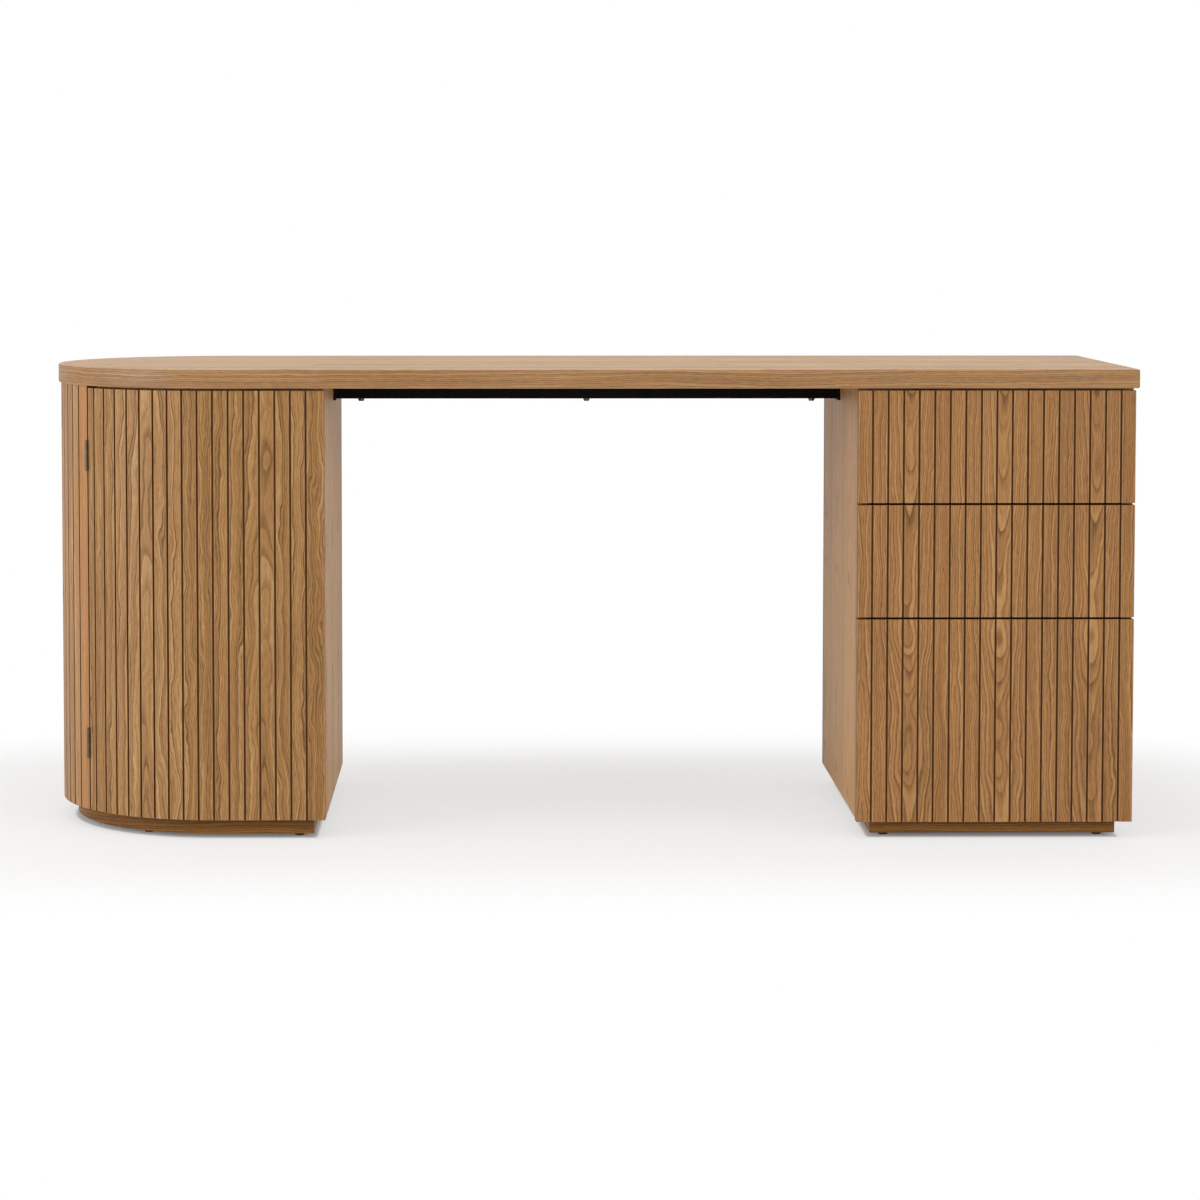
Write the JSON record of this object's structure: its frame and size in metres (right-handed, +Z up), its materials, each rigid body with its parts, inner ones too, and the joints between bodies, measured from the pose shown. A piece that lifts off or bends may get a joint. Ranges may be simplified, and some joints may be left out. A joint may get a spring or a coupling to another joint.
{
  "type": "pedestal writing desk",
  "caption": "Writing desk with a half-round end, fluted veneer pedestals, a curved hinged cupboard door, handleless drawers on slides and a steel beam over the kneehole.",
  "frame": {"origin": "on the floor below the middle of the desk", "axes": "+X along the desk to the square end, right as seen by the sitter; +Y from the sitter to the back; +Z up"},
  "size_m": [1.772, 0.567, 0.762],
  "materials": {
    "oak_veneer": "satin lacquered veneer",
    "oak_plinth": "satin lacquered veneer, darker",
    "birch_ply": "clear lacquered plywood",
    "beech": "plain turned wood",
    "black_steel": "matte black powder coat",
    "zinc_steel": "bright zinc plate",
    "hinge_steel": "satin steel",
    "glide_plastic": "brown moulded plastic",
    "latch_plastic": "grey moulded plastic"
  },
  "bodies": {
    "desk": {"desktop": "oak_veneer", "cupboard_inner_side": "oak_veneer", "cupboard_shell": "oak_veneer", "cupboard_floor": "oak_veneer", "cupboard_roof": "oak_veneer", "cupboard_shelf": "oak_veneer", "cupboard_plinth": "oak_plinth", "drawer_unit_inner_side": "oak_veneer", "drawer_unit_outer_side": "oak_veneer", "drawer_unit_back": "oak_veneer", "drawer_unit_floor": "oak_veneer", "drawer_unit_roof": "oak_veneer", "drawer_unit_plinth": "oak_plinth", "feet": "glide_plastic", "dowels": "beech", "shelf_pins": "zinc_steel", "top_fixing_bolts": "zinc_steel", "stiffener_beam": "black_steel", "beam_end_plates": "black_steel", "beam_bolts": "zinc_steel", "end_plate_screws": "black_steel", "hinge_frame_leaves": "hinge_steel", "hinge_frame_screws": "hinge_steel", "hinge_pins": "hinge_steel", "push_latch_housing": "latch_plastic", "upper_cabinet_rails": "zinc_steel", "middle_cabinet_rails": "zinc_steel", "lower_cabinet_rails": "zinc_steel"},
    "door": {"door": "oak_veneer", "hinge_door_leaves": "hinge_steel", "hinge_door_screws": "hinge_steel", "latch_strike_plate": "zinc_steel"},
    "latch_plunger": {"push_latch_plunger": "latch_plastic"},
    "upper_drawer": {"upper_drawer_front": "oak_veneer", "upper_drawer_box_front": "birch_ply", "upper_drawer_left_side": "birch_ply", "upper_drawer_right_side": "birch_ply", "upper_drawer_back": "birch_ply", "upper_drawer_bottom": "birch_ply", "upper_drawer_screws": "zinc_steel", "upper_drawer_rails": "zinc_steel"},
    "upper_slide_middle": {"upper_middle_rails": "zinc_steel"},
    "middle_drawer": {"middle_drawer_front": "oak_veneer", "middle_drawer_box_front": "birch_ply", "middle_drawer_left_side": "birch_ply", "middle_drawer_right_side": "birch_ply", "middle_drawer_back": "birch_ply", "middle_drawer_bottom": "birch_ply", "middle_drawer_screws": "zinc_steel", "middle_drawer_rails": "zinc_steel"},
    "middle_slide_middle": {"middle_middle_rails": "zinc_steel"},
    "lower_drawer": {"lower_drawer_front": "oak_veneer", "lower_drawer_box_front": "birch_ply", "lower_drawer_left_side": "birch_ply", "lower_drawer_right_side": "birch_ply", "lower_drawer_back": "birch_ply", "lower_drawer_bottom": "birch_ply", "lower_drawer_screws": "zinc_steel", "lower_drawer_rails": "zinc_steel"},
    "lower_slide_middle": {"lower_middle_rails": "zinc_steel"}
  },
  "joints": [
    {"name": "door_hinge", "type": "hinge", "parent": "desk", "child": "door", "pos_m": [-0.81947, -0.18013, 0.38], "axis": [0, 0, -1], "range_deg": [0, 115]},
    {"name": "latch_press", "type": "slide", "parent": "desk", "child": "latch_plunger", "axis": [0, 1, 0], "range_m": [0, 0.003], "stiffness_N_per_m": 400, "springref_m": -0.003},
    {"name": "upper_drawer_slide", "type": "slide", "parent": "desk", "child": "upper_drawer", "axis": [0, -1, 0], "range_m": [0, 0.42]},
    {"name": "upper_rail_slide", "type": "slide", "parent": "desk", "child": "upper_slide_middle", "axis": [0, -1, 0], "range_m": [0, 0.21]},
    {"name": "middle_drawer_slide", "type": "slide", "parent": "desk", "child": "middle_drawer", "axis": [0, -1, 0], "range_m": [0, 0.42]},
    {"name": "middle_rail_slide", "type": "slide", "parent": "desk", "child": "middle_slide_middle", "axis": [0, -1, 0], "range_m": [0, 0.21]},
    {"name": "lower_drawer_slide", "type": "slide", "parent": "desk", "child": "lower_drawer", "axis": [0, -1, 0], "range_m": [0, 0.42]},
    {"name": "lower_rail_slide", "type": "slide", "parent": "desk", "child": "lower_slide_middle", "axis": [0, -1, 0], "range_m": [0, 0.21]}
  ],
  "couplings": [
    {"joint": "upper_rail_slide", "follows": "upper_drawer_slide", "ratio": 0.5},
    {"joint": "middle_rail_slide", "follows": "middle_drawer_slide", "ratio": 0.5},
    {"joint": "lower_rail_slide", "follows": "lower_drawer_slide", "ratio": 0.5}
  ]
}
